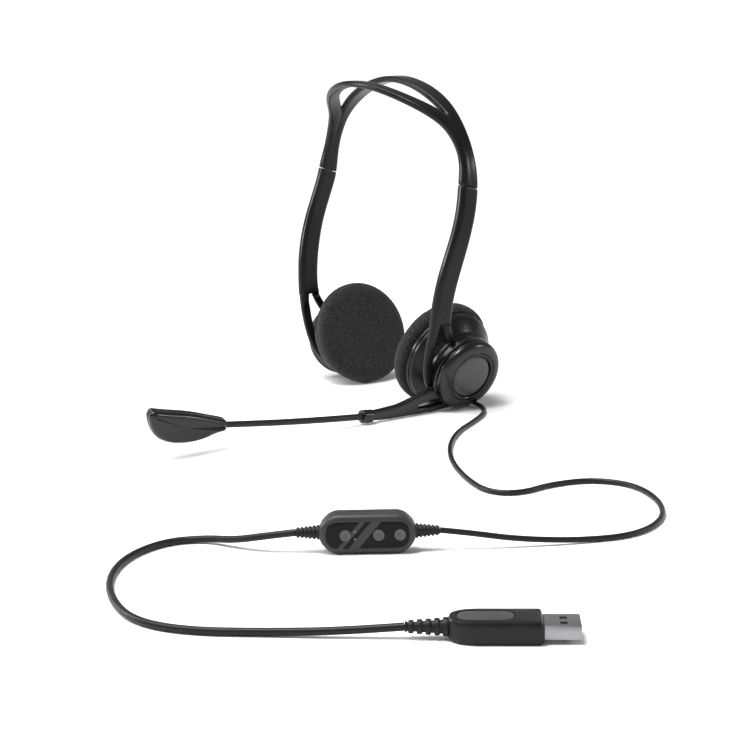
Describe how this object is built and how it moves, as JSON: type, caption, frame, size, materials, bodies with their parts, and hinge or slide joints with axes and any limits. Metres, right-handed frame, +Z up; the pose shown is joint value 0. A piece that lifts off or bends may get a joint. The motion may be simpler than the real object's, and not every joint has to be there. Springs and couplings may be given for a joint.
{
  "type": "office headset",
  "caption": "On-ear office headset with a split sliding headband, a swinging microphone boom, foam pads and a cord with an in-line control and a USB plug.",
  "frame": {"origin": "on the table under the middle of the headset's own box, without its cord, control and plug; the headset stands on its two pads", "axes": "+X to the side with the microphone boom, -Y to the wearer's front where the microphone points, +Z up through the headband"},
  "size_m": [0.3993, 0.3058, 0.1647],
  "materials": {
    "satin_black_plastic": "satin moulded",
    "gloss_black_plastic": "semi-gloss moulded",
    "grey_cap_plastic": "brushed-look grey",
    "black_trim": "gloss",
    "ear_foam": "open-cell foam",
    "speaker_film": "thin film",
    "speaker_metal": "plated",
    "spring_steel": "plain",
    "friction_washer": "smooth",
    "boom_tube_plastic": "satin sleeve",
    "capsule_metal": "plain",
    "screen_fabric": "fine felt",
    "cord_jacket": "smooth jacket",
    "moulded_rubber": "satin",
    "control_grey_plastic": "fine texture",
    "control_gloss_plate": "piano gloss",
    "button_grey_rubber": "satin",
    "inner_rubber": "plain",
    "circuit_board": "solder mask",
    "lamp_lens": "clear tinted",
    "plug_black_plastic": "satin moulded",
    "plug_grey_panel": "fine texture",
    "usb_steel": "nickel plated",
    "usb_black_plastic": "plain",
    "usb_gold": "gold plated"
  },
  "bodies": {
    "left_side": {"left_arm": "satin_black_plastic", "left_cup_shell": "satin_black_plastic", "left_speaker_baffle": "satin_black_plastic", "left_cup_cover": "gloss_black_plastic", "left_cap": "grey_cap_plastic", "left_cap_bezel": "black_trim", "left_ear_pad": "ear_foam", "left_diaphragm": "speaker_film", "left_speaker_driver": "speaker_metal", "left_hub_screw": "spring_steel", "boom_washer": "friction_washer", "cord_gland": "moulded_rubber", "cord_upper": "cord_jacket", "cord_lower": "cord_jacket", "control_front_case": "control_grey_plastic", "control_back_case": "control_grey_plastic", "control_plate": "control_gloss_plate", "control_board": "circuit_board", "button_membrane": "inner_rubber", "mute_lamps": "lamp_lens", "control_screws": "spring_steel", "control_relief_upper": "moulded_rubber", "control_relief_lower": "moulded_rubber", "plug_body": "plug_black_plastic", "plug_insert": "plug_grey_panel", "plug_board": "circuit_board", "plug_relief": "moulded_rubber", "usb_shell": "usb_steel", "usb_tongue": "usb_black_plastic", "usb_contacts": "usb_gold"},
    "headband": {"headband": "satin_black_plastic", "left_slider_tongue": "spring_steel", "right_slider_tongue": "spring_steel"},
    "right_side": {"right_arm": "satin_black_plastic", "right_cup_shell": "satin_black_plastic", "right_speaker_baffle": "satin_black_plastic", "right_cup_cover": "gloss_black_plastic", "right_cap": "grey_cap_plastic", "right_cap_bezel": "black_trim", "right_ear_pad": "ear_foam", "right_diaphragm": "speaker_film", "right_speaker_driver": "speaker_metal", "right_hub_screw": "spring_steel", "right_spacer_ring": "satin_black_plastic"},
    "boom": {"boom_root": "gloss_black_plastic", "boom_tube": "boom_tube_plastic", "microphone_inner_shell": "gloss_black_plastic", "microphone_outer_shell": "gloss_black_plastic", "microphone_capsule": "capsule_metal", "microphone_screen": "screen_fabric"},
    "mute_button": {"mute_button": "button_grey_rubber"},
    "volume_down_button": {"volume_down_button": "button_grey_rubber"},
    "volume_up_button": {"volume_up_button": "button_grey_rubber"}
  },
  "joints": [
    {"name": "left_slider", "type": "slide", "parent": "left_side", "child": "headband", "axis": [-0.0744, 0.291, 0.9538], "range_m": [0, 0.02]},
    {"name": "right_slider", "type": "slide", "parent": "headband", "child": "right_side", "axis": [-0.0744, -0.291, -0.9538], "range_m": [0, 0.02]},
    {"name": "boom_hinge", "type": "hinge", "parent": "left_side", "child": "boom", "pos_m": [0.05416, 0.07473, 0.01994], "axis": [-0.9483, 0, 0.3173], "range_deg": [0, 110]},
    {"name": "mute_button_press", "type": "slide", "parent": "left_side", "child": "mute_button", "axis": [-0.8189, 0.574, 0], "range_m": [0, 0.0005], "stiffness_N_per_m": 600, "springref_m": -0.0003},
    {"name": "volume_down_button_press", "type": "slide", "parent": "left_side", "child": "volume_down_button", "axis": [-0.8189, 0.574, 0], "range_m": [0, 0.0005], "stiffness_N_per_m": 600, "springref_m": -0.0003},
    {"name": "volume_up_button_press", "type": "slide", "parent": "left_side", "child": "volume_up_button", "axis": [-0.8189, 0.574, 0], "range_m": [0, 0.0005], "stiffness_N_per_m": 600, "springref_m": -0.0003}
  ]
}
